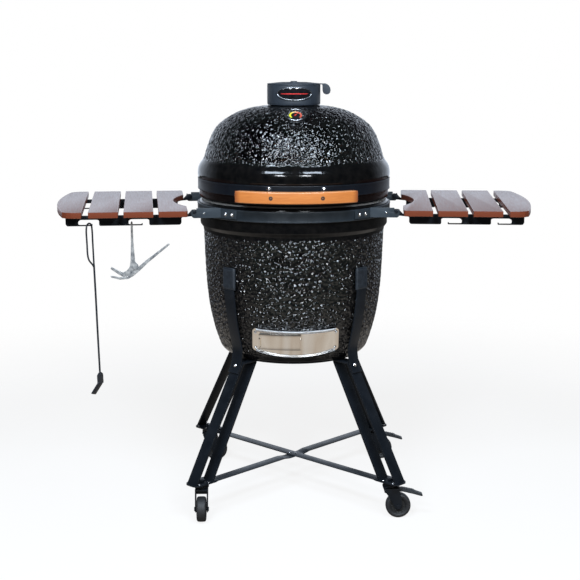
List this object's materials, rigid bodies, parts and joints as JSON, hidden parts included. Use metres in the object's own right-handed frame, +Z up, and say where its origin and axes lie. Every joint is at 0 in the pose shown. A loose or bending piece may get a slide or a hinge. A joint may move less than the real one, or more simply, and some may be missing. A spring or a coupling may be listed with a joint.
{
  "type": "kamado grill",
  "caption": "Egg-shaped ceramic charcoal grill with hinged domed lid, top and bottom vents, folding slatted side tables, hanging tools and a four-legged caster stand.",
  "frame": {"origin": "on the floor, under the centre of the whole object's plan rectangle", "axes": "+X to the right as seen from the front, -Y towards the front (handle, thermometer and draught door), +Z up"},
  "size_m": [1.3074, 0.6202, 1.1617],
  "materials": {
    "glaze": "glossy black crackled glaze over a pebbled surface",
    "band": "satin charcoal powder coat",
    "felt": "matte felt",
    "refractory": "matte fired clay",
    "iron": "satin coated casting",
    "stainless": "polished stainless",
    "zinc": "zinc plated",
    "chrome": "bright chrome",
    "pointer": "gloss red",
    "handle_wood": "varnished honey-orange bamboo",
    "table_wood": "stained satin bamboo",
    "powder_black": "satin black powder coat",
    "wheel_rubber": "matte grey-black rubber",
    "pedal": "matte"
  },
  "bodies": {
    "base": {"base_shell": "glaze", "base_gasket": "felt", "base_band": "band", "firebox": "refractory", "fire_ring": "refractory", "charcoal_grate": "iron", "cooking_grate": "stainless", "draft_frame": "stainless", "draft_screen": "stainless", "hinge_lower_bracket": "band", "hinge_pin": "zinc", "hinge_spring": "zinc", "support_ring": "powder_black", "brace_upper": "powder_black", "brace_lower": "powder_black", "leg_front_left": "powder_black", "leg_front_right": "powder_black", "leg_rear_left": "powder_black", "leg_rear_right": "powder_black", "arm_front_left": "powder_black", "arm_front_right": "powder_black", "arm_rear_left": "powder_black", "arm_rear_right": "powder_black", "table_bracket_front_left": "band", "table_bracket_front_right": "band", "table_bracket_rear_left": "band", "table_bracket_rear_right": "band"},
    "lid": {"lid_shell": "glaze", "lid_gasket": "felt", "lid_band": "band", "handle_bar": "handle_wood", "vent_collar": "iron", "thermometer_case": "chrome", "hinge_upper_bracket": "band"},
    "top_vent": {"vent_disc": "iron"},
    "gauge_needle": {"thermometer_needle": "pointer"},
    "draft_door": {"draft_door": "stainless"},
    "table_left": {"table_left_slat_1": "table_wood", "table_left_slat_2": "table_wood", "table_left_slat_3": "table_wood", "table_left_slat_4": "table_wood", "table_left_frame": "powder_black"},
    "table_right": {"table_right_slat_1": "table_wood", "table_right_slat_2": "table_wood", "table_right_slat_3": "table_wood", "table_right_slat_4": "table_wood", "table_right_frame": "powder_black"},
    "poker": {"poker": "powder_black"},
    "gripper": {"gripper_body": "chrome"},
    "gripper_lever": {"gripper_lever": "chrome"},
    "caster_front_left": {"caster_fork_front_left": "powder_black"},
    "wheel_front_left": {"caster_wheel_front_left": "wheel_rubber"},
    "caster_front_right": {"caster_fork_front_right": "powder_black"},
    "wheel_front_right": {"caster_wheel_front_right": "wheel_rubber"},
    "brake_front_right": {"caster_brake_front_right": "pedal"},
    "caster_rear_left": {"caster_fork_rear_left": "powder_black"},
    "wheel_rear_left": {"caster_wheel_rear_left": "wheel_rubber"},
    "caster_rear_right": {"caster_fork_rear_right": "powder_black"},
    "wheel_rear_right": {"caster_wheel_rear_right": "wheel_rubber"},
    "brake_rear_right": {"caster_brake_rear_right": "pedal"}
  },
  "joints": [
    {"name": "lid_hinge", "type": "hinge", "parent": "base", "child": "lid", "pos_m": [0, 0.29843, 0.843], "axis": [-1, 0, 0], "range_deg": [0, 75]},
    {"name": "top_vent_turn", "type": "hinge", "parent": "lid", "child": "top_vent", "pos_m": [0, 0.00043, 1.154], "axis": [0, 0, 1], "range_deg": [0, 72]},
    {"name": "gauge_needle_turn", "type": "hinge", "parent": "lid", "child": "gauge_needle", "pos_m": [0, -0.17631, 1.07859], "axis": [0, -0.515, 0.8572], "range_deg": [-100, 170]},
    {"name": "draft_door_slide", "type": "hinge", "parent": "base", "child": "draft_door", "pos_m": [0, 0.00043, 0.479], "axis": [0, 0, 1], "range_deg": [0, 21]},
    {"name": "table_left_fold", "type": "hinge", "parent": "base", "child": "table_left", "pos_m": [-0.284, 0.00043, 0.826], "axis": [0.0889, -0.996, 0], "range_deg": [0, 55]},
    {"name": "table_right_fold", "type": "hinge", "parent": "base", "child": "table_right", "pos_m": [0.284, 0.00043, 0.826], "axis": [0.0889, 0.996, 0], "range_deg": [0, 90]},
    {"name": "poker_swing", "type": "hinge", "parent": "table_left", "child": "poker", "pos_m": [-0.54273, -0.20539, 0.7986], "axis": [0.0889, -0.996, 0], "range_deg": [-55, 0]},
    {"name": "gripper_swing", "type": "hinge", "parent": "table_left", "child": "gripper", "pos_m": [-0.43217, -0.19552, 0.7986], "axis": [0.0889, -0.996, 0], "range_deg": [-55, 0]},
    {"name": "gripper_squeeze", "type": "hinge", "parent": "gripper", "child": "gripper_lever", "pos_m": [-0.42349, -0.20278, 0.6786], "axis": [0.0889, -0.996, 0], "range_deg": [-8, 10]},
    {"name": "caster_swivel_front_left", "type": "hinge", "parent": "base", "child": "caster_front_left", "pos_m": [-0.25456, -0.25413, 0.095], "axis": [0, 0, 1], "continuous": true},
    {"name": "wheel_spin_front_left", "type": "hinge", "parent": "caster_front_left", "child": "wheel_front_left", "pos_m": [-0.25456, -0.27613, 0.034], "axis": [1, 0, 0], "continuous": true},
    {"name": "caster_swivel_front_right", "type": "hinge", "parent": "base", "child": "caster_front_right", "pos_m": [0.25456, -0.25413, 0.095], "axis": [0, 0, 1], "continuous": true},
    {"name": "wheel_spin_front_right", "type": "hinge", "parent": "caster_front_right", "child": "wheel_front_right", "pos_m": [0.27656, -0.25413, 0.034], "axis": [0, 1, 0], "continuous": true},
    {"name": "brake_press_front_right", "type": "hinge", "parent": "caster_front_right", "child": "brake_front_right", "pos_m": [0.28406, -0.25413, 0.075], "axis": [0, 1, 0], "range_deg": [0, 6]},
    {"name": "caster_swivel_rear_left", "type": "hinge", "parent": "base", "child": "caster_rear_left", "pos_m": [-0.25456, 0.25499, 0.095], "axis": [0, 0, 1], "continuous": true},
    {"name": "wheel_spin_rear_left", "type": "hinge", "parent": "caster_rear_left", "child": "wheel_rear_left", "pos_m": [-0.23256, 0.25499, 0.034], "axis": [0, 1, 0], "continuous": true},
    {"name": "caster_swivel_rear_right", "type": "hinge", "parent": "base", "child": "caster_rear_right", "pos_m": [0.25456, 0.25499, 0.095], "axis": [0, 0, 1], "continuous": true},
    {"name": "wheel_spin_rear_right", "type": "hinge", "parent": "caster_rear_right", "child": "wheel_rear_right", "pos_m": [0.27656, 0.25499, 0.034], "axis": [0, 1, 0], "continuous": true},
    {"name": "brake_press_rear_right", "type": "hinge", "parent": "caster_rear_right", "child": "brake_rear_right", "pos_m": [0.28406, 0.25499, 0.075], "axis": [0, 1, 0], "range_deg": [0, 6]}
  ],
  "couplings": [
    {"joint": "poker_swing", "follows": "table_left_fold", "ratio": -1},
    {"joint": "gripper_swing", "follows": "table_left_fold", "ratio": -1}
  ]
}
